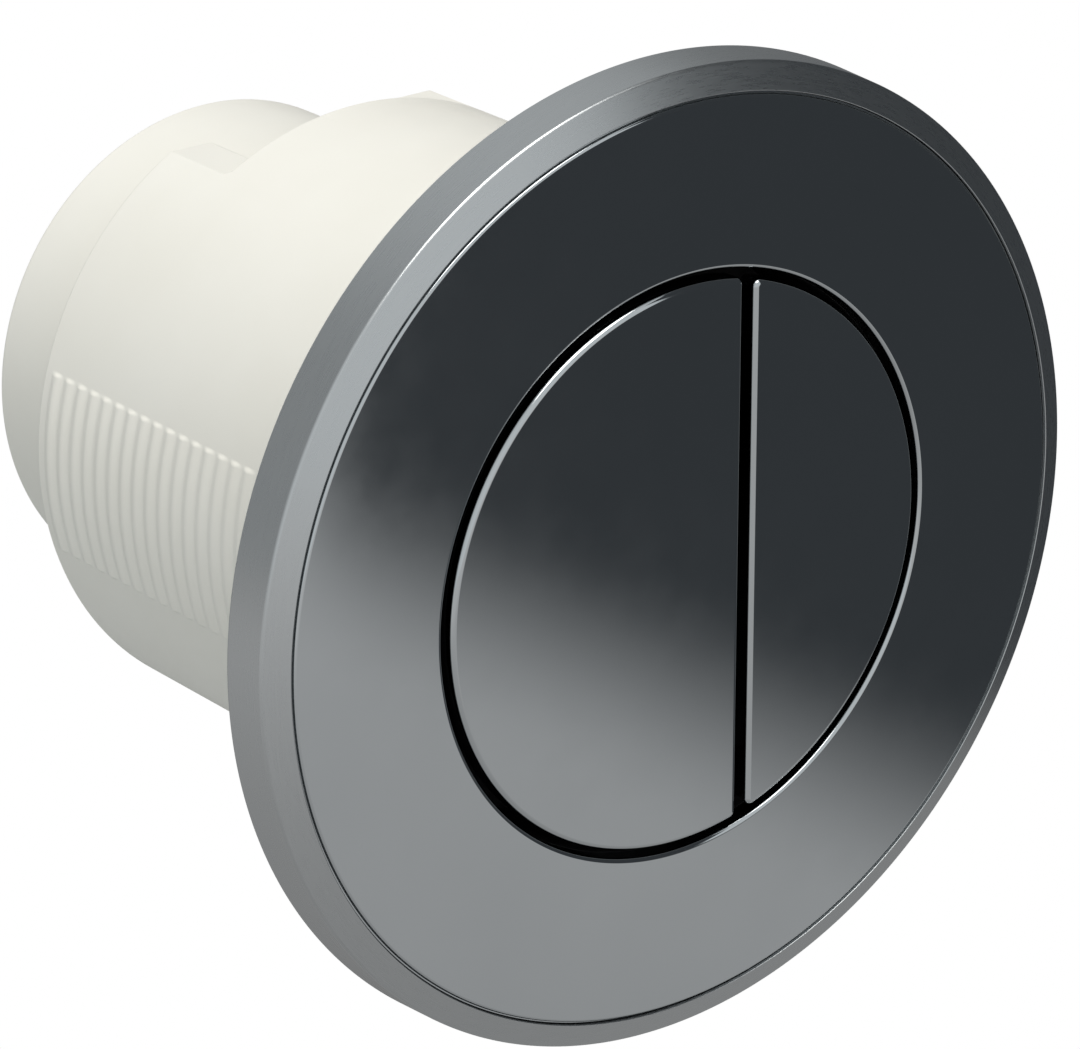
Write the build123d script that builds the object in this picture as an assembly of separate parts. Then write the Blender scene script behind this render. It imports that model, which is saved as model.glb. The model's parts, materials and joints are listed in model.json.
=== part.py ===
from build123d import *
import os
from math import sqrt

# Round dual-flush plate for a concealed cistern, with its in-wall body. Millimetres.
# Frame: origin at the plate's centre on the wall plane, front towards -Y, body into the wall along +Y, +Z up.
# Turned pieces are drawn as (radius, y) profiles and turned about Y. Flat outlines are drawn as (x, z).

# Cover ring
ring_diameter = 94.0  # across the back edge, on the wall
ring_depth = 5.75  # wall plane to the face
ring_lean = 0.25  # how far the side leans in by the ridge
bevel_width = 2.55  # across the radius, ridge to groove
bevel_drop = 1.03  # ridge below the face
ledge_width = 1.7  # step that the face plate sits on

# Face plate
face_thickness = 2.0
groove = 0.25  # dark line between face plate and ring
face_chamfer = 0.3
aperture_chamfer = 0.4
peg_width = 3.0
peg_length = 1.8
peg_clearance = 0.1

# Wall sleeve
sleeve_diameter = 63.0
sleeve_length = 52.85  # wall plane to the rear rim
sleeve_wall = 2.0
slot_width = 26.0  # cut-out in the top of the rear rim
slot_depth = 9.2
slot_corner = 1.5
slot_mouth = 3.0  # radius that the cut-out opens with at the rim

# Interrupted thread on the sleeve's flanks
thread_pitch = 2.06
thread_turns = 16
thread_height = 0.5
thread_crest = 0.8
thread_root = 0.05  # the root stands this far off the barrel
thread_lip = 2.08  # rear rim to the last crest
thread_half_angle = 16.5

# Button frame
frame_clearance = 0.3  # collar in the sleeve's bore
collar_wall = 1.2
frame_depth = 10.0  # wall plane to the back of the frame's floor
floor_thickness = 2.0
arm_width = 9.0
arm_thickness = 2.2
arm_clearance = 0.3  # arm to the ring's bore
arm_count = 4
catch_width = 8.0  # snap catches between collar and sleeve
catch_length = 1.6
catch_height = 0.5
catch_depth = 4.0  # wall plane to the middle of the catches
catch_clearance = 0.25

# Keys
button_gap = 0.9  # key to aperture, all round
divider_x = 6.55  # middle of the gap between the keys
divider_gap = 1.3
button_rise = 0.22  # proud of the face
button_chamfer = 0.4
cap_thickness = 2.22

# Pushers under the keys
pusher_plate = 2.0
pusher_width = 9.0
pusher_length = 30.0
pusher_inset = 0.6  # plate to the straight edge of its key
stem_width = 6.0
stem_rib = 1.6
stem_reach = 6.0  # past the back of the frame's floor
guide_clearance = 0.1
guide_wall = 1.5
guide_front = 4.0
guide_back = 3.0
hook_spacing = 26.0
hook_width = 3.0
hook_thickness = 1.5
hook_barb = 0.8
hook_tip = 1.6
hook_play = 0.3
window_clearance = 0.4

# Rear cup on its two legs
cup_gap = 4.4  # sleeve's bore to the cup
cup_wall = 2.0
cup_front = 40.0  # wall plane to the cup's floor
cup_floor = 2.5
cup_reach = 69.35  # wall plane to the cup's rear rim
leg_width = 12.0
leg_thickness = 2.5
leg_spacing = 37.0  # between the inner faces of the legs
tongue_width = 6.0
tongue_thickness = 1.5

# Bellows and the plate that clamps them to the cup's floor
bellows_height = 22.0
bellows_margin = 2.0  # bellows' corners in from the edge of the cup's floor
bellows_gap = 4.0  # between the two bellows
bellows_folds = 3
bellows_fold = 2.0
bellows_wall = 1.0
bellows_bevel = 3.0  # cut off the corners
bellows_foot = 1.5  # thickness and reach of the clamped edge
bellows_seat = 0.3  # stem to bellows at rest
retainer_thickness = 3.0
retainer_rim = 1.6
retainer_clearance = 0.2

# Hose spigots on the cup's floor
spigot_diameter = 4.0
spigot_length = 10.0
spigot_bore = 2.2

# Levels along Y, from the front
face_front = -ring_depth
face_back = face_front + face_thickness
ridge_level = face_front + bevel_drop
floor_back = frame_depth
floor_front = floor_back - floor_thickness
cap_front = face_front - button_rise
cap_back = cap_front + cap_thickness
plate_back = cap_back + pusher_plate
stem_end = floor_back + stem_reach
bellows_front = stem_end + bellows_seat
foot_front = cup_front - bellows_foot
retainer_front = cup_front - retainer_thickness
neck_front = retainer_front - retainer_clearance
cup_floor_back = cup_front + cup_floor
spigot_end = cup_floor_back + spigot_length

# Radii, each from the one that it fits
ring_radius = ring_diameter / 2
ridge_radius = ring_radius - ring_lean
mouth_radius = ridge_radius - bevel_width
ledge_radius = mouth_radius - ledge_width
face_radius = mouth_radius - groove
sleeve_radius = sleeve_diameter / 2
sleeve_bore = sleeve_radius - sleeve_wall
collar_radius = sleeve_bore - frame_clearance
aperture_radius = collar_radius - collar_wall
button_radius = aperture_radius - button_gap
arm_reach = ledge_radius - arm_clearance
peg_circle = (collar_radius + arm_reach) / 2
cup_radius = sleeve_bore - cup_gap
cup_bore = cup_radius - cup_wall

# Across X: the small pusher stands at its key's straight edge, and the bellows fill the cup's floor behind the stems
bellows_reach = sqrt((cup_radius - bellows_margin) ** 2 - (bellows_height / 2) ** 2)
partial_x = divider_x + divider_gap / 2 + pusher_inset + pusher_width / 2
partial_width = 2 * (bellows_reach - partial_x)
full_width = 2 * bellows_reach - bellows_gap - partial_width
full_x = full_width / 2 - bellows_reach


def turned(*profile):
    """Solid of revolution about Y from (radius, y) points."""
    return revolve(make_face(Polyline(*profile, close=True)), Axis.Y)


def slab(outline, back, front):
    """Flat (x, z) outline given thickness from its back level to its front level."""
    return extrude(Plane.XZ.offset(-back) * outline, back - front)


def strip(width, *profile):
    """Flat (y, z) profile given width along X, centred."""
    return extrude(Plane.YZ * make_face(Polyline(*profile, close=True)), width / 2, both=True)


def both_ways(piece):
    """A piece and its mirror image below."""
    return [piece, mirror(piece, Plane.XY)]


def cover_ring():
    return turned(
        (mouth_radius, face_front),
        (ridge_radius, ridge_level),
        (ring_radius, 0),
        (ledge_radius, 0),
        (ledge_radius, face_back),
        (mouth_radius, face_back),
    )


def arm_angles():
    return [45 + 360 * arm / arm_count for arm in range(arm_count)]


def face_plate():
    plate = turned(
        (aperture_radius + aperture_chamfer, face_front),
        (face_radius - face_chamfer, face_front),
        (face_radius, face_front + face_chamfer),
        (face_radius, face_back),
        (aperture_radius, face_back),
        (aperture_radius, face_front + aperture_chamfer),
    )
    peg = slab(Pos(peg_circle, 0) * Rectangle(peg_width, peg_width), face_back + peg_length, face_back)
    for angle in arm_angles():
        plate += peg.rotate(Axis.Y, angle)
    return plate


def thread_patch():
    """Comb of flat crests with V roots, sunk half into the sleeve's wall, its middle on +X."""
    root = sleeve_radius + thread_root
    crest = sleeve_radius + thread_height
    inside = sleeve_radius - sleeve_wall / 2
    last = sleeve_length - thread_lip
    first = last - (thread_turns - 1) * thread_pitch
    profile = [(root, first - thread_pitch / 2)]
    for turn in range(thread_turns):
        middle = first + turn * thread_pitch
        profile.append((crest, middle - thread_crest / 2))
        profile.append((crest, middle + thread_crest / 2))
        profile.append((root, middle + thread_pitch / 2))
    profile.append((inside, last + thread_pitch / 2))
    profile.append((inside, first - thread_pitch / 2))
    patch = revolve(make_face(Polyline(*profile, close=True)), Axis.Y, 2 * thread_half_angle)
    return patch.rotate(Axis.Y, -thread_half_angle)


def catches(clearance):
    """Snap catches above and below the collar, or with a clearance the pockets for them in the sleeve."""
    half = catch_length / 2 + clearance
    inner = collar_radius - collar_wall / 2
    outer = collar_radius + catch_height + clearance
    catch = strip(
        catch_width + 2 * clearance,
        (catch_depth - half, inner),
        (catch_depth - half, outer),
        (catch_depth + half, outer),
        (catch_depth + half, inner),
    )
    return both_ways(catch)


def wall_sleeve():
    sleeve = turned(
        (sleeve_bore, 0),
        (sleeve_radius, 0),
        (sleeve_radius, sleeve_length),
        (sleeve_bore, sleeve_length),
    )
    patch = thread_patch()
    sleeve += patch
    sleeve += patch.rotate(Axis.Y, 180)
    outline = Rectangle(slot_width, 2 * slot_depth)
    outline = fillet(outline.vertices(), slot_corner)
    outline += Rectangle(slot_width + 2 * slot_mouth, 2 * slot_mouth)
    for side in (-1, 1):
        outline -= Pos(side * (slot_width / 2 + slot_mouth), -slot_mouth) * Circle(slot_mouth)
    sleeve -= extrude(Pos(0, sleeve_length) * outline, sleeve_radius)
    for pocket in catches(catch_clearance):
        sleeve -= pocket
    return sleeve


def hook(inner, thickness, base, catch, width):
    """Snap hook from its base level to past the level that it catches, with its barb outwards."""
    outer = inner + thickness
    onward = 1 if catch > base else -1
    tip = catch + onward * hook_tip
    return strip(
        width,
        (base, inner),
        (tip, inner),
        (tip, outer),
        (catch, outer + hook_barb),
        (catch, outer),
        (base, outer),
    )


def hook_window(inner, thickness, width):
    """Window in the frame's floor that lets a hook of these sizes and its barb through."""
    height = thickness + hook_barb
    outline = Rectangle(width + 2 * window_clearance, height + 2 * window_clearance)
    return slab(Pos(0, inner + height / 2) * outline, floor_back, floor_front)


def button_frame():
    frame = turned(
        (aperture_radius, face_back),
        (collar_radius, face_back),
        (collar_radius, floor_back),
        (0, floor_back),
        (0, floor_front),
        (aperture_radius, floor_front),
    )
    arm_root = aperture_radius + collar_wall / 2
    arm = Pos((arm_root + arm_reach) / 2, 0) * Rectangle(arm_reach - arm_root, arm_width)
    socket_width = peg_width + 2 * peg_clearance
    arm -= Pos(peg_circle, 0) * Rectangle(socket_width, socket_width)
    arm = slab(arm, face_back + arm_thickness, face_back)
    for angle in arm_angles():
        frame += arm.rotate(Axis.Y, angle)
    for catch in catches(0):
        frame += catch
    hole = stem_width + 2 * guide_clearance
    guide = hole + 2 * guide_wall
    guide_levels = (floor_back + guide_back, floor_front - guide_front)
    for x in (full_x, partial_x):
        frame += slab(Pos(x, 0) * Rectangle(guide, guide), *guide_levels)
        frame -= slab(Pos(x, 0) * Rectangle(hole, hole), *guide_levels)
        for window in both_ways(hook_window(hook_spacing / 2, hook_thickness, hook_width)):
            frame -= Pos(x, 0, 0) * window
    for window in both_ways(hook_window(leg_spacing / 2, tongue_thickness, tongue_width)):
        frame -= window
    return frame


def button(side):
    """Left key (side -1) or right key (side 1): the disc in the aperture, cut along the divider."""
    edge = divider_x + side * divider_gap / 2
    half = Pos(edge + side * button_radius, 0) * Rectangle(2 * button_radius, 2 * button_radius)
    cap = slab(Circle(button_radius) & half, cap_back, cap_front)
    return chamfer(cap.edges().group_by(Axis.Y)[0], button_chamfer)


def pusher(x):
    body = slab(Rectangle(pusher_width, pusher_length), plate_back, cap_back)
    cross = Rectangle(stem_width, stem_rib) + Rectangle(stem_rib, stem_width)
    body += slab(cross, stem_end, plate_back)
    catch = floor_back + hook_play
    for leg in both_ways(hook(hook_spacing / 2, hook_thickness, plate_back, catch, hook_width)):
        body += leg
    return Pos(x, 0, 0) * body


def rear_cup():
    cup = turned(
        (0, cup_front),
        (cup_radius, cup_front),
        (cup_radius, cup_reach),
        (cup_bore, cup_reach),
        (cup_bore, cup_floor_back),
        (0, cup_floor_back),
    )
    inner = leg_spacing / 2
    leg = strip(
        leg_width,
        (cup_front, inner),
        (cup_front, inner + leg_thickness),
        (floor_back, inner + leg_thickness),
        (floor_back, inner),
    )
    catch = floor_front - hook_play
    leg += hook(inner, tongue_thickness, floor_back, catch, tongue_width)
    for piece in both_ways(leg):
        cup += piece
    for x in (full_x, partial_x):
        cup += slab(Pos(x, 0) * Circle(spigot_diameter / 2), spigot_end, cup_floor_back)
        cup -= slab(Pos(x, 0) * Circle(spigot_bore / 2), spigot_end, cup_front)
    return cup


def pleats(width, inset, front, back):
    """Pleated block between two levels: zigzag edges along X and along Z meet in mitred corners, cut off flat."""
    pitch = (back - front) / bellows_folds

    def zigzag(reach):
        reaches = [reach - bellows_fold, reach] * bellows_folds + [reach - bellows_fold]
        edge = [(front + step * pitch / 2, z) for step, z in enumerate(reaches)]
        return edge + [(y, -z) for y, z in reversed(edge)]

    tall = strip(width, *zigzag(bellows_height / 2 - inset))
    wide = strip(bellows_height, *zigzag(width / 2 - inset)).rotate(Axis.Y, 90)
    outline = Rectangle(width - 2 * inset, bellows_height - 2 * inset)
    return tall & wide & slab(chamfer(outline.vertices(), bellows_bevel), back, front)


def neck(width, offset):
    """Outline of a bellows at its foot's neck, grown by an offset."""
    inset = bellows_fold - offset
    return Rectangle(width - 2 * inset, bellows_height - 2 * inset)


def bellows(width, x):
    form = pleats(width, 0, bellows_front, neck_front)
    form += slab(neck(width, 0), cup_front, neck_front)
    form += slab(neck(width, bellows_foot), cup_front, foot_front)
    form -= pleats(width, bellows_wall, bellows_front + bellows_wall, neck_front)
    form -= slab(neck(width, -bellows_wall), cup_front, neck_front)
    return Pos(x, 0, 0) * form


def bellows_retainer():
    """Plate with two windows that presses the feet of both bellows on the cup's floor."""
    rim = bellows_foot + retainer_clearance + retainer_rim - bellows_fold
    outline = Rectangle(2 * (bellows_reach + rim), bellows_height + 2 * rim)
    plate = slab(outline, cup_front, retainer_front)
    for width, x in ((full_width, full_x), (partial_width, partial_x)):
        window = neck(width, retainer_clearance)
        plate -= slab(Pos(x, 0) * window, cup_front, retainer_front)
        seat = neck(width, bellows_foot + retainer_clearance)
        plate -= slab(Pos(x, 0) * seat, cup_front, foot_front)
    return plate


parts = {
    "cover_ring": cover_ring(),
    "face_plate": face_plate(),
    "button_frame": button_frame(),
    "wall_sleeve": wall_sleeve(),
    "rear_cup": rear_cup(),
    "bellows_retainer": bellows_retainer(),
    "full_flush_button": button(-1),
    "full_flush_pusher": pusher(full_x),
    "full_flush_bellows": bellows(full_width, full_x),
    "partial_flush_button": button(1),
    "partial_flush_pusher": pusher(partial_x),
    "partial_flush_bellows": bellows(partial_width, partial_x),
}

os.makedirs("parts", exist_ok=True)
for name, shape in parts.items():
    export_step(shape, f"parts/{name}.step")
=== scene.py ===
import json
from math import acos, atan2, cos, degrees, pi, radians, sin, sqrt, tan

import bmesh
import bpy
from mathutils import Matrix, Vector

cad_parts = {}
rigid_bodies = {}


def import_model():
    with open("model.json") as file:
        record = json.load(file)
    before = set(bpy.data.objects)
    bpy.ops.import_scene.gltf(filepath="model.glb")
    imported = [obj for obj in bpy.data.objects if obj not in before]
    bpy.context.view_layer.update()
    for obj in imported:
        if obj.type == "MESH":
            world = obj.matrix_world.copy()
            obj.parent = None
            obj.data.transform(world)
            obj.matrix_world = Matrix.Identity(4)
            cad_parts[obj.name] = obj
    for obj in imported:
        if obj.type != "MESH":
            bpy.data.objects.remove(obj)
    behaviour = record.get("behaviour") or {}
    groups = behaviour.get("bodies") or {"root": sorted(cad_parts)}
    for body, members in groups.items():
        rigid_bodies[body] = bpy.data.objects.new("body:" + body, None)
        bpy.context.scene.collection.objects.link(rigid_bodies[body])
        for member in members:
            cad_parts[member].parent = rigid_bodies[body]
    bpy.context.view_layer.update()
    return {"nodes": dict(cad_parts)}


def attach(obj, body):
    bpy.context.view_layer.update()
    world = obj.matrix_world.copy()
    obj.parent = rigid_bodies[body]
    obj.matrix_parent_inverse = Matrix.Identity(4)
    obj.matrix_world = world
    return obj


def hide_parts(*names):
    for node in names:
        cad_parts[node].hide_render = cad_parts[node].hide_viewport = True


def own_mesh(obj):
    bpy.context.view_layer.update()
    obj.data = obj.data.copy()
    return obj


# The objects of Blender's start-up file go before the frame comes in.
for leftover in list(bpy.data.objects):
    bpy.data.objects.remove(leftover)
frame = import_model()
cad_nodes = frame["nodes"]

# Sizes are in millimetres, in the part's frame: radius from the Y axis, y into the wall.
MM = 0.001

# Face plate, with a shoulder in the groove round it and four pegs on its back
FACE_FRONT = -5.75
FACE_BACK = -3.75
FACE_R = 43.95
FACE_ROUND = 0.3
FACE_BACK_ROUND = 0.15
SHOULDER_R = 44.14
SHOULDER_DROP = 0.4
SHOULDER_ROUND = 0.06
APERTURE_R = 28.0
APERTURE_ROUND = 0.4
PEG_COUNT = 4
PEG_CIRCLE = 35.7
PEG_WIDTH = 3.0
PEG_ROOT = 0.4
PEG_END = -1.95
PEG_ROUND = 0.2

# Cover ring
RING_R = 47.0
RING_BACK_ROUND = 0.2
RIDGE_R = 46.75
RIDGE_Y = -4.72
RIDGE_ROUND = 0.4
MOUTH_R = 44.2
MOUTH_ROUND = 0.08
LEDGE_R = 42.5
LEDGE_ROUND = 0.1

# Keys
KEY_R = 27.1
KEY_FRONT = -5.97
KEY_BACK = -3.75
KEY_CORNER = 0.7
KEY_FRONT_ROUND = 0.5
KEY_BACK_ROUND = 0.15
FULL_CHORD = 5.9
PARTIAL_CHORD = 7.2

# Wall sleeve, with the top of its rear end cut down to a flat
SLEEVE_R = 31.5
SLEEVE_BORE = 29.5
SLEEVE_END = 52.85
SLEEVE_ROUND = 0.22
FLAT_Z = 27.5
FLAT_START = 43.65
FLAT_CORNER = 0.8
FLAT_HALF = degrees(acos(FLAT_Z / SLEEVE_R))
FLAT_HALF_IN_BORE = degrees(acos(FLAT_Z / SLEEVE_BORE))
SLEEVE_TOP = 90.0
CORNER_STEPS = (0.23 * FLAT_CORNER, 0.5 * FLAT_CORNER, FLAT_CORNER)
DEGREES_PER_MM = degrees(1 / SLEEVE_R)

# Thread patches on the sleeve's flanks
THREAD_FIRST = 19.87
THREAD_PITCH = 2.06
THREAD_TURNS = 16
THREAD_TOP = 0.28
THREAD_HALF_ANGLE = 16.5
THREAD_EASE = 0.3
THREAD_MIDDLES = (0.0, 180.0)

# Rear cup, with its legs and hose spigots
CUP_R = 25.1
CUP_BORE = 23.1
CUP_FRONT = 40.0
CUP_FLOOR_BACK = 42.5
CUP_END = 69.35
CUP_FLOOR_ROUND = 0.6
CUP_MOUTH_ROUND = 0.5
CUP_RIM_ROUND = 0.7
CUP_HUB = 1.0
LEG_WIDTH = 12.0
LEG_IN = 18.5
LEG_OUT = 21.0
LEG_FRONT = 10.0
LEG_ROUND = 0.3
SPIGOT_R = 2.0
SPIGOT_BORE = 1.1
SPIGOT_END = 52.5
SPIGOT_ROUND = 0.35
SPIGOT_BORE_ROUND = 0.2
SPIGOT_FOOT_ROUND = 0.05
SPIGOT_X = (-10.013, 12.3)
OVERLAP = 0.5


# Meshes
def piece(name, verts, faces, normals=None):
    """A smooth mesh object from points in millimetres; normals, if given, are per point."""
    mesh = bpy.data.meshes.new(name)
    mesh.from_pydata([[c * MM for c in v] for v in verts], [], faces)
    mesh.polygons.foreach_set("use_smooth", [True] * len(mesh.polygons))
    mesh.update()
    if normals:
        first = mesh.polygons[0]
        mean = sum((Vector(normals[i]) for i in first.vertices), Vector())
        if first.normal.dot(mean) < 0:
            mesh.flip_normals()
        mesh.normals_split_custom_set_from_vertices(normals)
    obj = bpy.data.objects.new(name, mesh)
    bpy.context.scene.collection.objects.link(obj)
    return obj


def rounded(corners, closed=True, steps=6):
    """Points with normals, (r, y, nr, ny), along a profile whose corners are (r, y, corner radius)."""
    count = len(corners)
    area = sum(
        corners[i][0] * corners[(i + 1) % count][1] - corners[(i + 1) % count][0] * corners[i][1]
        for i in range(count)
    )
    turn = 1.0 if area > 0 else -1.0
    points = []
    for i, (r, y, radius) in enumerate(corners):
        here = Vector((r, y))
        before = Vector(corners[i - 1][:2])
        after = Vector(corners[(i + 1) % count][:2])
        into = (here - before).normalized()
        out = (after - here).normalized()
        normal_in = turn * Vector((into.y, -into.x))
        normal_out = turn * Vector((out.y, -out.x))
        if not closed and i in (0, count - 1):
            n = normal_out if i == 0 else normal_in
            points.append((r, y, n.x, n.y))
            continue
        bend = acos(max(-1.0, min(1.0, into.dot(out))))
        reach = radius * tan(bend / 2)
        start = here - into * reach
        convex = (into.x * out.y - into.y * out.x) * turn > 0
        side = 1.0 if convex else -1.0
        centre = start - side * normal_in * radius
        for k in range(steps + 1):
            n = normal_in.slerp(normal_out, k / steps)
            p = centre + side * n * radius
            points.append((p.x, p.y, n.x, n.y))
    return points


def lathe(name, corners, turns=360, closed=True, centre=(0.0, 0.0)):
    """A profile turned about an axis along Y; an open profile gets a flat cap at each end."""
    points = rounded(corners, closed)
    verts, normals, faces = [], [], []
    for k in range(turns):
        c, s = cos(2 * pi * k / turns), sin(2 * pi * k / turns)
        for r, y, nr, ny in points:
            verts.append((centre[0] + r * c, y, centre[1] + r * s))
            normals.append((nr * c, ny, nr * s))
    n = len(points)
    for k in range(turns):
        a, b = k * n, (k + 1) % turns * n
        for j in range(n if closed else n - 1):
            m = (j + 1) % n
            faces.append((a + j, a + m, b + m, b + j))
    if not closed:
        faces.append([k * n for k in range(turns)])
        faces.append([k * n + n - 1 for k in reversed(range(turns))])
    return piece(name, verts, faces, normals)


def box(name, low, high, edge):
    """A block with rounded edges."""
    verts = [(x, y, z) for x in (low[0], high[0]) for y in (low[1], high[1]) for z in (low[2], high[2])]
    faces = [(0, 1, 3, 2), (4, 6, 7, 5), (0, 4, 5, 1), (2, 3, 7, 6), (0, 2, 6, 4), (1, 5, 7, 3)]
    obj = piece(name, verts, faces)
    soften(obj, edge)
    return obj


def soften(obj, width, angle=50.0, segments=3):
    """Rounds the edges of a piece that bend by more than an angle in degrees."""
    bevel = obj.modifiers.new("edges", "BEVEL")
    bevel.width = width * MM
    bevel.segments = segments
    bevel.limit_method = "ANGLE"
    bevel.angle_limit = radians(angle)
    bevel.harden_normals = True


def settle(obj):
    """Applies a piece's modifiers."""
    graph = bpy.context.evaluated_depsgraph_get()
    mesh = bpy.data.meshes.new_from_object(obj.evaluated_get(graph), depsgraph=graph)
    obj.modifiers.clear()
    obj.data = mesh
    return obj


def joined(name, objs):
    """Several pieces as one."""
    for o in objs:
        settle(o)
    with bpy.context.temp_override(active_object=objs[0], selected_editable_objects=objs):
        bpy.ops.object.join()
    objs[0].name = name
    return objs[0]


def key_outline(chord, flip):
    """A key's outline as (x, z, normal x, normal z): a disc cut by a straight edge, with rounded corners."""
    corner_steps = 8
    arc_steps = 300
    centre_x = chord * flip - KEY_CORNER
    centre_z = sqrt((KEY_R - KEY_CORNER) ** 2 - centre_x**2)
    swing = atan2(centre_z, centre_x)
    outline = []
    for k in range(corner_steps + 1):
        a = swing * k / corner_steps
        outline.append((centre_x + KEY_CORNER * cos(a), centre_z + KEY_CORNER * sin(a), cos(a), sin(a)))
    for k in range(1, arc_steps):
        a = swing + (2 * pi - 2 * swing) * k / arc_steps
        outline.append((KEY_R * cos(a), KEY_R * sin(a), cos(a), sin(a)))
    for k in range(corner_steps + 1):
        a = -swing * (1 - k / corner_steps)
        outline.append((centre_x + KEY_CORNER * cos(a), -centre_z + KEY_CORNER * sin(a), cos(a), sin(a)))
    return [(x * flip, z, nx * flip, nz) for x, z, nx, nz in outline]


def key_levels():
    """A key's side from back to front as (inset, y, outward normal, normal along y): two quarter rounds."""
    back_steps = 4
    front_steps = 8
    levels = []
    for k in range(back_steps + 1):
        c, s = cos(pi / 2 * k / back_steps), sin(pi / 2 * k / back_steps)
        levels.append((KEY_BACK_ROUND * (1 - s), KEY_BACK - KEY_BACK_ROUND * (1 - c), s, c))
    for k in range(front_steps + 1):
        c, s = cos(pi / 2 * k / front_steps), sin(pi / 2 * k / front_steps)
        levels.append((KEY_FRONT_ROUND * (1 - c), KEY_FRONT + KEY_FRONT_ROUND * (1 - s), c, -s))
    return levels


def key(name, chord, side):
    """One key: the part of a disc on one side of a straight edge, with rounded front edges."""
    outline = key_outline(chord, -side)
    levels = key_levels()
    verts, normals, faces = [], [], []
    for inset, y, outward, along in levels:
        for x, z, nx, nz in outline:
            verts.append((x - inset * nx, y, z - inset * nz))
            normals.append((outward * nx, along, outward * nz))
    n = len(outline)
    for j in range(len(levels) - 1):
        for i in range(n):
            m = (i + 1) % n
            quad = (j * n + i, j * n + m, (j + 1) * n + m, (j + 1) * n + i)
            faces.append(quad if side < 0 else quad[::-1])
    back = tuple(range(n))
    front = tuple(range((len(levels) - 1) * n, len(levels) * n))
    faces.append(back[::-1] if side < 0 else back)
    faces.append(front if side < 0 else front[::-1])
    return piece(name, verts, faces, normals)


def thread_height(y):
    """How far the thread stands off the barrel at a level."""
    turn = round((y - THREAD_FIRST) / THREAD_PITCH)
    turn = max(0, min(THREAD_TURNS - 1, turn))
    off = min(1.0, abs(y - THREAD_FIRST - turn * THREAD_PITCH) / (THREAD_PITCH / 2))
    return THREAD_TOP * (1 + cos(pi * off)) / 2


def thread_share(angle):
    """1 on the two thread patches, 0 on the plain barrel, for an angle in degrees."""
    off = min(abs((angle + 180.0) % 360.0 - 180.0), abs(angle % 360.0 - 180.0))
    return max(0.0, min(1.0, (THREAD_HALF_ANGLE + THREAD_EASE - off) / (2 * THREAD_EASE)))


def sleeve_angles():
    """The angles of the sleeve's grid: even steps, with close ones at the flat and at the thread's ends."""
    even_step = 2.0
    clear_of_special = 0.9
    thread_end_steps = (-0.5, -THREAD_EASE, 0.0, THREAD_EASE, 0.5)
    special = []
    for side in (-1, 1):
        edge = SLEEVE_TOP + side * FLAT_HALF
        special.append(edge)
        special += [edge - side * step * DEGREES_PER_MM for step in CORNER_STEPS]
    for middle in THREAD_MIDDLES:
        for side in (-1, 1):
            edge = middle + side * THREAD_HALF_ANGLE
            special += [(edge + step) % 360.0 for step in thread_end_steps]
    even = [a * even_step for a in range(180)]
    return sorted([a for a in even if min(abs(a - s) for s in special) > clear_of_special] + special)


def sleeve_levels():
    """The levels of the sleeve's grid: ten to each turn of the thread, with close ones at the flat."""
    half_pitch = THREAD_PITCH / 2
    turn_steps = (-half_pitch, -0.84, -0.64, -0.42, -0.2, 0.0, 0.2, 0.42, 0.64, 0.84)
    plain_levels = (0.0, 0.5, 4.0, 8.0, 12.0, 16.0, 18.2)
    rim_level = 52.3
    corner_low = FLAT_START - 0.45
    corner_high = FLAT_START + FLAT_CORNER + 0.04
    levels = list(plain_levels)
    for turn in range(THREAD_TURNS):
        levels += [THREAD_FIRST + turn * THREAD_PITCH + step for step in turn_steps]
    levels.append(THREAD_FIRST + (THREAD_TURNS - 1) * THREAD_PITCH + half_pitch)
    levels = [y for y in levels if not corner_low < y < corner_high]
    levels += [FLAT_START] + [FLAT_START + step for step in CORNER_STEPS]
    return sorted(levels + [rim_level, SLEEVE_END])


def grid_spot(angle, y):
    """A point of the sleeve's grid, rounded so that it can be looked up."""
    return round(angle, 6), round(y, 6)


def flat_corner_moves():
    """Where the grid's points at the flat's two corners go, so that the corners are round."""
    quarter_steps = 6
    moves = {}
    for side in (-1, 1):
        edge = SLEEVE_TOP + side * FLAT_HALF
        spots = [(edge, FLAT_START + step) for step in reversed(CORNER_STEPS)]
        spots += [(edge, FLAT_START)]
        spots += [(edge - side * step * DEGREES_PER_MM, FLAT_START) for step in CORNER_STEPS]
        for k, (angle, y) in enumerate(spots):
            a = pi / 2 * k / quarter_steps
            across = FLAT_CORNER * (1 - cos(a))
            along = FLAT_CORNER * (1 - sin(a))
            moved = (edge - side * across * DEGREES_PER_MM, FLAT_START + along)
            moves[grid_spot(angle, y)] = moved
    return moves


def bore_angle(angle):
    """The bore's angle that faces an angle on the barrel, so that the flat is level."""
    blend = 14.0
    off = angle - SLEEVE_TOP
    side = 1.0 if off > 0 else -1.0
    near = max(0.0, 1.0 - abs(abs(off) - FLAT_HALF) / blend)
    return angle + side * (FLAT_HALF_IN_BORE - FLAT_HALF) * near


def cut_away(low_angle, high_angle, y):
    """Whether a face of the sleeve's grid lies above the flat."""
    tolerance = 1e-6
    middle = (low_angle + high_angle) / 2
    return abs(middle - SLEEVE_TOP) < FLAT_HALF and y >= FLAT_START - tolerance


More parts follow.
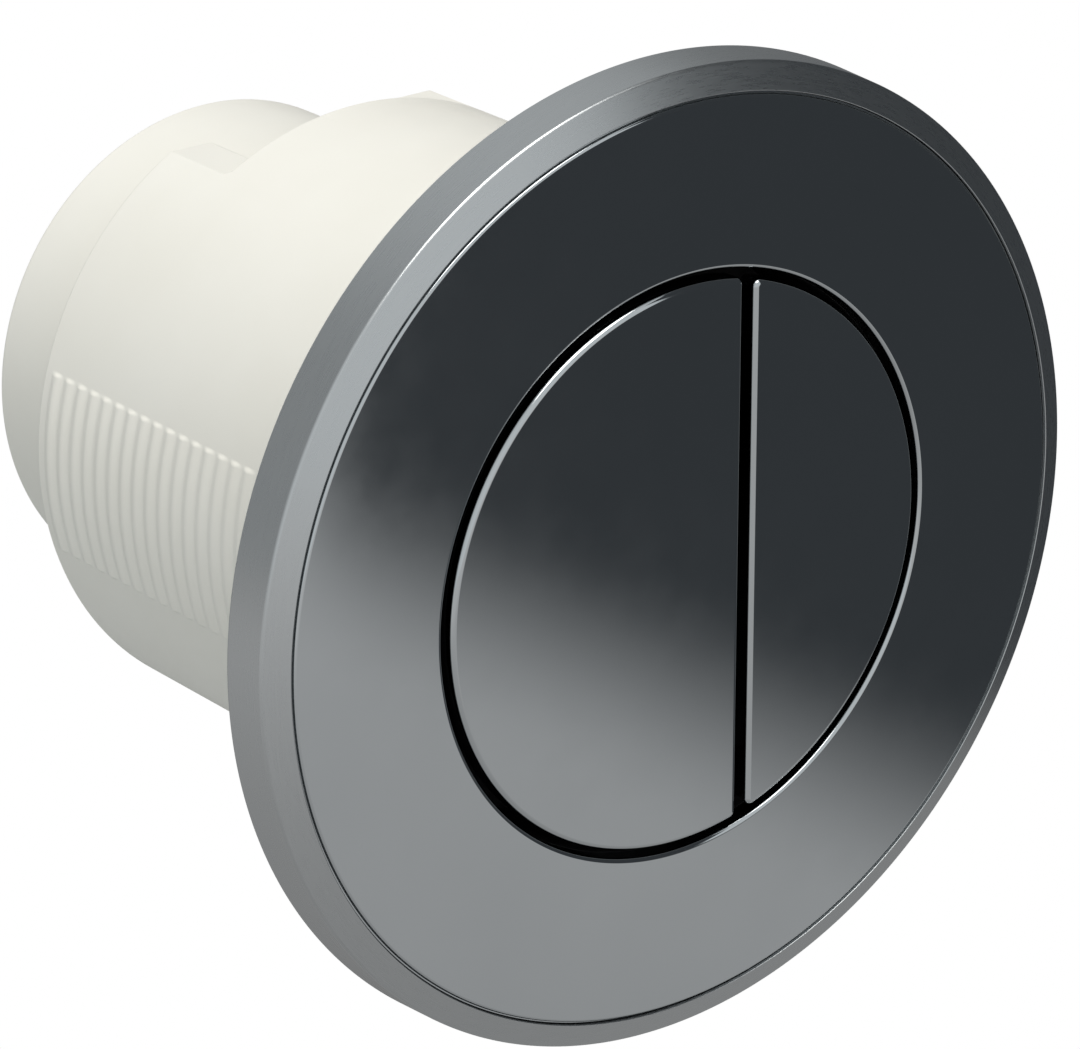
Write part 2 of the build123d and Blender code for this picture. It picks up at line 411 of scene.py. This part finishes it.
def sleeve_shell():
    """The sleeve's points and faces: barrel, bore, front rim, rear rim and the sides of the cut-out."""
    angles = sleeve_angles()
    levels = sleeve_levels()
    plain_bore_levels = (0.0, 0.5, 12.0)
    rear_from = FLAT_START - 0.8
    bore_levels = [y for y in levels if y in plain_bore_levels or y > rear_from]
    moves = flat_corner_moves()
    count = len(angles)
    ends = angles[1:] + [angles[0] + 360.0]
    spans = [(i, (i + 1) % count, angles[i], ends[i]) for i in range(count)]
    verts, faces, grids = [], [], []
    for outer, rows in ((True, levels), (False, bore_levels)):
        index = {}
        for j, y in enumerate(rows):
            for i, angle in enumerate(angles):
                a, level = moves.get(grid_spot(angle, y), (angle, y))
                radius = SLEEVE_R + thread_share(a) * thread_height(level) if outer else SLEEVE_BORE
                a = a if outer else bore_angle(a)
                index[(j, i)] = len(verts)
                verts.append((radius * cos(radians(a)), level, radius * sin(radians(a))))
        grids.append(index)
        for j in range(len(rows) - 1):
            for i, m, low, high in spans:
                if cut_away(low, high, rows[j]):
                    continue
                quad = (index[(j, i)], index[(j, m)], index[(j + 1, m)], index[(j + 1, i)])
                faces.append(quad[::-1] if outer else quad)
    out, inn = grids
    flat_out = levels.index(FLAT_START)
    flat_in = bore_levels.index(FLAT_START)
    for i, m, low, high in spans:
        faces.append((out[(0, i)], out[(0, m)], inn[(0, m)], inn[(0, i)]))
        cut = cut_away(low, high, SLEEVE_END)
        row_out = flat_out if cut else len(levels) - 1
        row_in = flat_in if cut else len(bore_levels) - 1
        faces.append((out[(row_out, m)], out[(row_out, i)], inn[(row_in, i)], inn[(row_in, m)]))
    for side in (-1, 1):
        i = angles.index(SLEEVE_TOP + side * FLAT_HALF)
        for k in range(len(levels) - 1 - flat_out):
            a, b = out[(flat_out + k, i)], out[(flat_out + k + 1, i)]
            c, d = inn[(flat_in + k + 1, i)], inn[(flat_in + k, i)]
            faces.append((a, b, c, d) if side > 0 else (d, c, b, a))
    used = sorted({v for f in faces for v in f})
    place = {v: k for k, v in enumerate(used)}
    return [verts[v] for v in used], [[place[v] for v in f] for f in faces]


def sleeve(name):
    """The wall sleeve: a tube with thread patches on its flanks and its rear end's top cut down to a flat."""
    rounding_angle = 62.0
    sharp_angle = 20.0
    margin = 0.01
    obj = piece(name, *sleeve_shell())
    shell = bmesh.new()
    shell.from_mesh(obj.data)
    bmesh.ops.recalc_face_normals(shell, faces=shell.faces)
    for edge in shell.edges:
        by_flat = all(
            v.co.z > (FLAT_Z - margin) * MM and v.co.y > (FLAT_START - margin) * MM for v in edge.verts
        )
        if by_flat and sharp_angle < degrees(edge.calc_face_angle(0.0)) < rounding_angle:
            edge.smooth = False
    shell.to_mesh(obj.data)
    shell.free()
    soften(obj, SLEEVE_ROUND, angle=rounding_angle, segments=2)
    return settle(obj)


# Materials
def shader(name):
    """A new material with its Principled shader."""
    mat = bpy.data.materials.new(name)
    mat.use_nodes = True
    tree = mat.node_tree
    bsdf = next(n for n in tree.nodes if n.type == "BSDF_PRINCIPLED")
    return mat, tree, bsdf


def noise(tree, coords, scale, detail=3.0, roughness=0.5):
    """A noise pattern."""
    node = tree.nodes.new("ShaderNodeTexNoise")
    node.inputs["Scale"].default_value = scale
    node.inputs["Detail"].default_value = detail
    node.inputs["Roughness"].default_value = roughness
    tree.links.new(coords, node.inputs["Vector"])
    return node.outputs["Fac"]


def spread(tree, value, low, high, from_low=0.3, from_high=0.7):
    """A value mapped from one range to another; where none is given, the first is the middle of a noise."""
    node = tree.nodes.new("ShaderNodeMapRange")
    node.inputs["From Min"].default_value = from_low
    node.inputs["From Max"].default_value = from_high
    node.inputs["To Min"].default_value = low
    node.inputs["To Max"].default_value = high
    tree.links.new(value, node.inputs["Value"])
    return node.outputs["Result"]


def soft_step(tree, value, low, high):
    """0 below a range, 1 above it and a smooth change between."""
    node = tree.nodes.new("ShaderNodeMapRange")
    node.interpolation_type = "SMOOTHSTEP"
    node.inputs["From Min"].default_value = low
    node.inputs["From Max"].default_value = high
    tree.links.new(value, node.inputs["Value"])
    return node.outputs["Result"]


def tint(tree, value, low, high):
    """A colour between two, by a value."""
    node = tree.nodes.new("ShaderNodeMix")
    node.data_type = "RGBA"
    node.inputs["A"].default_value = (*low, 1.0)
    node.inputs["B"].default_value = (*high, 1.0)
    tree.links.new(value, node.inputs["Factor"])
    return node.outputs["Result"]


def calculate(tree, operation, a, b=None):
    """One sum of numbers or node values."""
    node = tree.nodes.new("ShaderNodeMath")
    node.operation = operation
    for socket, value in zip(node.inputs, (a, b)):
        if value is None:
            continue
        if isinstance(value, (int, float)):
            socket.default_value = value
        else:
            tree.links.new(value, socket)
    return node.outputs[0]


def bump(tree, bsdf, height, strength, distance):
    """Relief on a shader, with its depth in metres."""
    node = tree.nodes.new("ShaderNodeBump")
    node.inputs["Strength"].default_value = strength
    node.inputs["Distance"].default_value = distance
    tree.links.new(height, node.inputs["Height"])
    tree.links.new(node.outputs["Normal"], bsdf.inputs["Normal"])


def object_coords(tree):
    """Places in the object's own frame."""
    return tree.nodes.new("ShaderNodeTexCoord").outputs["Object"]


def split_xyz(tree, vector):
    """The three parts of a vector."""
    node = tree.nodes.new("ShaderNodeSeparateXYZ")
    tree.links.new(vector, node.inputs[0])
    return node.outputs


def moulded(name, low, high, rough, grain, sheen=0.5):
    """A moulded plastic or rubber: faint blotches of colour, uneven gloss and a fine grain."""
    blotch_scale = 70.0
    gloss_scale = 420.0
    grain_scale = 2600.0
    grain_depth = 0.00006
    mat, tree, bsdf = shader(name)
    at = object_coords(tree)
    colour = tint(tree, spread(tree, noise(tree, at, blotch_scale), 0.0, 1.0), low, high)
    tree.links.new(colour, bsdf.inputs["Base Color"])
    gloss = spread(tree, noise(tree, at, gloss_scale), *rough)
    tree.links.new(gloss, bsdf.inputs["Roughness"])
    bsdf.inputs["Specular IOR Level"].default_value = sheen
    bump(tree, bsdf, noise(tree, at, grain_scale, detail=2.0), grain, grain_depth)
    return mat


def chrome(name):
    """Dark gloss chrome: a mirror with a faint unevenness."""
    low = (0.458, 0.482, 0.494)
    high = (0.474, 0.498, 0.510)
    cloud_scale = 55.0
    gloss_scale = 260.0
    rough = (0.055, 0.075)
    wave_scale = 140.0
    wave_strength = 0.02
    wave_depth = 0.00002
    mat, tree, bsdf = shader(name)
    at = object_coords(tree)
    colour = tint(tree, spread(tree, noise(tree, at, cloud_scale), 0.0, 1.0), low, high)
    tree.links.new(colour, bsdf.inputs["Base Color"])
    bsdf.inputs["Metallic"].default_value = 1.0
    gloss = spread(tree, noise(tree, at, gloss_scale), *rough)
    tree.links.new(gloss, bsdf.inputs["Roughness"])
    bump(tree, bsdf, noise(tree, at, wave_scale, detail=1.0), wave_strength, wave_depth)
    return mat


def satin(name):
    """Satin metal, brushed round the Y axis."""
    low = (0.455, 0.472, 0.479)
    high = (0.475, 0.492, 0.498)
    hair_scale = 5200.0
    hair_stretch = 0.004
    hair_strength = 0.03
    hair_depth = 0.00001
    rough = (0.26, 0.31)
    mat, tree, bsdf = shader(name)
    x, y, z = split_xyz(tree, object_coords(tree))
    across = calculate(tree, "ADD", calculate(tree, "MULTIPLY", x, x), calculate(tree, "MULTIPLY", z, z))
    radius = calculate(tree, "SQRT", across)
    angle = calculate(tree, "ARCTAN2", calculate(tree, "ABSOLUTE", z), x)
    along = tree.nodes.new("ShaderNodeCombineXYZ")
    tree.links.new(calculate(tree, "MULTIPLY", angle, hair_stretch), along.inputs[0])
    tree.links.new(radius, along.inputs[1])
    tree.links.new(y, along.inputs[2])
    hairs = noise(tree, along.outputs[0], hair_scale, detail=3.0, roughness=0.6)
    colour = tint(tree, spread(tree, hairs, 0.0, 1.0), low, high)
    tree.links.new(colour, bsdf.inputs["Base Color"])
    bsdf.inputs["Metallic"].default_value = 1.0
    tree.links.new(spread(tree, hairs, *rough), bsdf.inputs["Roughness"])
    bump(tree, bsdf, hairs, hair_strength, hair_depth)
    return mat


FINISH = {
    "white_plastic": moulded(
        "white_plastic", low=(0.845, 0.825, 0.75), high=(0.87, 0.852, 0.782), rough=(0.36, 0.46), grain=0.05
    ),
    "black_plastic": moulded(
        "black_plastic", low=(0.012, 0.012, 0.013), high=(0.02, 0.02, 0.021), rough=(0.42, 0.55), grain=0.12
    ),
    "rubber": moulded(
        "rubber",
        low=(0.016, 0.016, 0.016),
        high=(0.028, 0.028, 0.027),
        rough=(0.62, 0.78),
        grain=0.2,
        sheen=0.3,
    ),
    "dark_chrome": chrome("dark_chrome"),
    "satin_metal": satin("satin_metal"),
}


def dress(obj, finish):
    """Gives an object one of the finishes."""
    obj.data.materials.clear()
    obj.data.materials.append(FINISH[finish])


def stands_for(obj, node, finish, body="housing"):
    """A finished piece in the place of a CAD node, which gets the same finish."""
    dress(cad_nodes[node], finish)
    dress(obj, finish)
    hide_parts(node)
    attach(obj, body)


# Pieces
def cover_ring():
    """The ring, with its bevel, its ridge and the ledge that the face plate sits on."""
    corners = [
        (MOUTH_R, FACE_FRONT, MOUTH_ROUND),
        (RIDGE_R, RIDGE_Y, RIDGE_ROUND),
        (RING_R, 0.0, RING_BACK_ROUND),
        (LEDGE_R, 0.0, RING_BACK_ROUND),
        (LEDGE_R, FACE_BACK, LEDGE_ROUND),
        (MOUTH_R, FACE_BACK, LEDGE_ROUND),
    ]
    return lathe("cover_ring_satin", corners, turns=480)


def face_plate():
    """The face plate with its pegs."""
    corners = [
        (APERTURE_R, FACE_FRONT, APERTURE_ROUND),
        (FACE_R, FACE_FRONT, FACE_ROUND),
        (FACE_R, FACE_FRONT + SHOULDER_DROP, SHOULDER_ROUND),
        (SHOULDER_R, FACE_FRONT + SHOULDER_DROP, SHOULDER_ROUND),
        (SHOULDER_R, FACE_BACK, FACE_BACK_ROUND),
        (APERTURE_R, FACE_BACK, FACE_BACK_ROUND),
    ]
    parts = [lathe("face_plate_disc", corners, turns=480)]
    half = PEG_WIDTH / 2
    for k in range(PEG_COUNT):
        a = 2 * pi * (k + 0.5) / PEG_COUNT
        peg = box(f"peg_{k}", (-half, FACE_BACK - PEG_ROOT, -half), (half, PEG_END, half), PEG_ROUND)
        settle(peg)
        place = Matrix.Translation((PEG_CIRCLE * cos(a) * MM, 0.0, PEG_CIRCLE * sin(a) * MM))
        peg.data.transform(place @ Matrix.Rotation(-a, 4, "Y"))
        parts.append(peg)
    return joined("face_plate_gloss", parts)


def rear_cup():
    """The cup with its hose spigots and its two legs."""
    shell = [
        (CUP_HUB, CUP_FLOOR_BACK, 0.0),
        (CUP_BORE, CUP_FLOOR_BACK, CUP_FLOOR_ROUND),
        (CUP_BORE, CUP_END, CUP_MOUTH_ROUND),
        (CUP_R, CUP_END, CUP_RIM_ROUND),
        (CUP_R, CUP_FRONT, CUP_FLOOR_ROUND),
        (CUP_HUB, CUP_FRONT, 0.0),
    ]
    spigot = [
        (SPIGOT_R, CUP_FLOOR_BACK - OVERLAP, SPIGOT_FOOT_ROUND),
        (SPIGOT_R, SPIGOT_END, SPIGOT_ROUND),
        (SPIGOT_BORE, SPIGOT_END, SPIGOT_BORE_ROUND),
        (SPIGOT_BORE, CUP_FLOOR_BACK - OVERLAP, SPIGOT_FOOT_ROUND),
    ]
    parts = [lathe("rear_cup_shell", shell, turns=240, closed=False)]
    for x in SPIGOT_X:
        parts.append(lathe("spigot", spigot, turns=72, centre=(x, 0.0)))
    for side in (-1, 1):
        low_z, high_z = sorted((side * LEG_IN, side * LEG_OUT))
        low = (-LEG_WIDTH / 2, LEG_FRONT, low_z)
        high = (LEG_WIDTH / 2, CUP_FRONT + OVERLAP, high_z)
        parts.append(box("leg", low, high, LEG_ROUND))
    return joined("rear_cup_moulding", parts)


def bellows(size):
    """One bellows: a rubber copy of the CAD node's mesh, put in the node's place."""
    node = f"{size}_flush_bellows"
    soft = bpy.data.objects.new(f"{size}_flush_bellows_rubber", cad_nodes[node].data.copy())
    bpy.context.scene.collection.objects.link(soft)
    stands_for(soft, node, "rubber")
    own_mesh(soft)


stands_for(cover_ring(), "cover_ring", "satin_metal")
stands_for(face_plate(), "face_plate", "dark_chrome")
full_key = key("full_flush_key_cap", FULL_CHORD, -1)
stands_for(full_key, "full_flush_button", "dark_chrome", "full_flush_key")
partial_key = key("partial_flush_key_cap", PARTIAL_CHORD, 1)
stands_for(partial_key, "partial_flush_button", "dark_chrome", "partial_flush_key")
stands_for(sleeve("wall_sleeve_moulding"), "wall_sleeve", "white_plastic")
stands_for(rear_cup(), "rear_cup", "white_plastic")
bellows("full")
bellows("partial")
for carried_over in ("full_flush_pusher", "partial_flush_pusher", "button_frame", "bellows_retainer"):
    dress(cad_nodes[carried_over], "black_plastic")


# Stage, light and camera, in metres
FLOOR_Z = -0.6
FLOOR_HALF = 5.0
FLOOR_COLOUR = (0.6, 0.62, 0.625, 1.0)
PANEL_X = 0.7
PANEL_TILT = 0.0442
PANEL_LOW = (-1.2, -0.59)
PANEL_HIGH = (1.6, 1.4)
PANEL_BOTTOM = -0.467
PANEL_FRONT = -1.063
PANEL_BACK = 0.7
PANEL_COLOUR = (0.057, 0.063, 0.069, 1.0)
DOME_FRONT = 0.87
DOME_BACK = 0.4
DOME_COLOUR = (0.969, 1.003, 1.02)
DOME_SPOT = 0.27
DOME_SPOT_WAY = (0.12, 0.78, 0.61)
LAMP_PLACE = (-0.12, -0.35, 1.2)
LAMP_AIM = (0.0, 0.02, 0.0)
LAMP_SIZE = 0.8
LAMP_POWER = 10.0
LAMP_COLOUR = (1.0, 0.972, 0.94)
CAMERA_PLACE = (-0.28686, -0.34609, 0.18686)
CAMERA_RIGHT = (0.7837, -0.6211, 0.0)
CAMERA_UP = (0.2359, 0.2976, 0.9251)
CAMERA_BACK = (-0.5746, -0.7250, 0.3798)
CAMERA_LENS = 178.07
CAMERA_SENSOR = 36.0


def plane(name, corners):
    """A flat sheet of the stage."""
    mesh = bpy.data.meshes.new(name)
    mesh.from_pydata(corners, [], [(0, 1, 2, 3)])
    obj = bpy.data.objects.new(name, mesh)
    bpy.context.scene.collection.objects.link(obj)
    return obj


def plain_material(name):
    """A new material with an empty node tree."""
    mat = bpy.data.materials.new(name)
    mat.use_nodes = True
    mat.node_tree.nodes.clear()
    return mat, mat.node_tree


def finish_mix(tree, share, first, second):
    """Ends a material in a mix of two shaders."""
    mix = tree.nodes.new("ShaderNodeMixShader")
    tree.links.new(share, mix.inputs["Fac"])
    tree.links.new(first.outputs[0], mix.inputs[1])
    tree.links.new(second.outputs[0], mix.inputs[2])
    out = tree.nodes.new("ShaderNodeOutputMaterial")
    tree.links.new(mix.outputs[0], out.inputs["Surface"])


def floor_material():
    """White to the camera, a grey that changes from place to place in the gloss, and matt for the rest."""
    mat, tree = plain_material("pale_floor")
    path = tree.nodes.new("ShaderNodeLightPath")
    at = object_coords(tree)
    distance = tree.nodes.new("ShaderNodeVectorMath")
    distance.operation = "LENGTH"
    tree.links.new(at, distance.inputs[0])
    x, y, _ = split_xyz(tree, at)
    towards_right = calculate(tree, "ADD", y, x)
    towards_rear = calculate(tree, "ADD", y, calculate(tree, "MULTIPLY", x, 0.5))
    far = spread(tree, distance.outputs["Value"], low=0.42, high=0.72, from_low=0.6, from_high=2.2)
    right = spread(tree, towards_right, low=1.0, high=0.6, from_low=0.2, from_high=1.3)
    rear = spread(tree, towards_rear, low=1.0, high=0.68, from_low=0.4, from_high=1.0)
    mirrored = calculate(tree, "MULTIPLY", calculate(tree, "MULTIPLY", far, right), rear)
    camera_ray = path.outputs["Is Camera Ray"]
    glossy = calculate(tree, "MAXIMUM", path.outputs["Is Glossy Ray"], path.outputs["Is Transmission Ray"])
    glow = tree.nodes.new("ShaderNodeEmission")
    strength = calculate(tree, "ADD", camera_ray, calculate(tree, "MULTIPLY", glossy, mirrored))
    tree.links.new(strength, glow.inputs["Strength"])
    matt = tree.nodes.new("ShaderNodeBsdfDiffuse")
    matt.inputs["Color"].default_value = FLOOR_COLOUR
    finish_mix(tree, calculate(tree, "MAXIMUM", camera_ray, glossy), matt, glow)
    return mat


def panel_material():
    """A dark glow with soft edges at the front, the bottom and the back."""
    front_blur = 0.035
    bottom_blur = 0.045
    back_blur = 0.3
    mat, tree = plain_material("dark_panel")
    _, y, z = split_xyz(tree, object_coords(tree))
    front = soft_step(tree, y, PANEL_FRONT - front_blur, PANEL_FRONT + front_blur)
    bottom = soft_step(tree, z, PANEL_BOTTOM - bottom_blur, PANEL_BOTTOM + bottom_blur)
    back = soft_step(tree, y, PANEL_BACK + back_blur, PANEL_BACK - back_blur)
    cover = calculate(tree, "MULTIPLY", calculate(tree, "MULTIPLY", front, bottom), back)
    clear = tree.nodes.new("ShaderNodeBsdfTransparent")
    glow = tree.nodes.new("ShaderNodeEmission")
    glow.inputs["Color"].default_value = PANEL_COLOUR
    finish_mix(tree, cover, clear, glow)
    return mat


def studio_world():
    """White to the camera; otherwise bright in front and dim behind, with a spot high at the rear."""
    world = bpy.data.worlds.new("studio")
    bpy.context.scene.world = world
    world.use_nodes = True
    tree = world.node_tree
    tree.nodes.clear()
    camera_ray = tree.nodes.new("ShaderNodeLightPath").outputs["Is Camera Ray"]
    way = tree.nodes.new("ShaderNodeTexCoord").outputs["Generated"]
    _, y, _ = split_xyz(tree, way)
    facing = tree.nodes.new("ShaderNodeVectorMath")
    facing.operation = "DOT_PRODUCT"
    facing.inputs[1].default_value = DOME_SPOT_WAY
    tree.links.new(way, facing.inputs[0])
    slope = spread(tree, y, DOME_FRONT, DOME_BACK, from_low=-0.6, from_high=0.6)
    spot = spread(tree, facing.outputs["Value"], 0.0, DOME_SPOT, from_low=0.8, from_high=1.0)
    dome = calculate(tree, "ADD", slope, spot)
    unseen = calculate(tree, "SUBTRACT", 1.0, camera_ray)
    strength = calculate(tree, "ADD", camera_ray, calculate(tree, "MULTIPLY", unseen, dome))
    background = tree.nodes.new("ShaderNodeBackground")
    tree.links.new(tint(tree, camera_ray, DOME_COLOUR, (1.0, 1.0, 1.0)), background.inputs["Color"])
    tree.links.new(strength, background.inputs["Strength"])
    out = tree.nodes.new("ShaderNodeOutputWorld")
    tree.links.new(background.outputs[0], out.inputs["Surface"])


def overhead_softbox():
    """One large soft lamp above the part."""
    lamp = bpy.data.lights.new("overhead_softbox", "AREA")
    lamp.shape = "RECTANGLE"
    lamp.size = LAMP_SIZE
    lamp.size_y = LAMP_SIZE
    lamp.energy = LAMP_POWER
    lamp.color = LAMP_COLOUR
    obj = bpy.data.objects.new("overhead_softbox", lamp)
    obj.location = LAMP_PLACE
    obj.rotation_euler = (Vector(LAMP_AIM) - Vector(LAMP_PLACE)).to_track_quat("-Z", "Y").to_euler()
    bpy.context.scene.collection.objects.link(obj)


def photo_camera():
    """The camera, where the photograph was taken from."""
    camera = bpy.data.cameras.new("camera")
    camera.sensor_fit = "HORIZONTAL"
    camera.sensor_width = CAMERA_SENSOR
    camera.lens = CAMERA_LENS
    eye = bpy.data.objects.new("camera", camera)
    turn = Matrix((CAMERA_RIGHT, CAMERA_UP, CAMERA_BACK)).transposed()
    eye.matrix_world = Matrix.Translation(CAMERA_PLACE) @ turn.to_4x4()
    bpy.context.scene.collection.objects.link(eye)
    bpy.context.scene.camera = eye


floor_corners = [(-1, -1), (1, -1), (1, 1), (-1, 1)]
floor = plane("floor", [(x * FLOOR_HALF, y * FLOOR_HALF, FLOOR_Z) for x, y in floor_corners])
floor.data.materials.append(floor_material())

# The panel stands to the right and is seen only in the gloss.
panel_corners = [
    PANEL_LOW,
    (PANEL_HIGH[0], PANEL_LOW[1]),
    PANEL_HIGH,
    (PANEL_LOW[0], PANEL_HIGH[1]),
]
panel = plane("dark_panel", [(PANEL_X, y, z) for y, z in panel_corners])
panel.data.materials.append(panel_material())
panel.rotation_euler[0] = PANEL_TILT
panel.visible_camera = False
panel.visible_shadow = False
panel.visible_transmission = False

studio_world()
overhead_softbox()
photo_camera()
bpy.context.scene.view_settings.view_transform = "Standard"
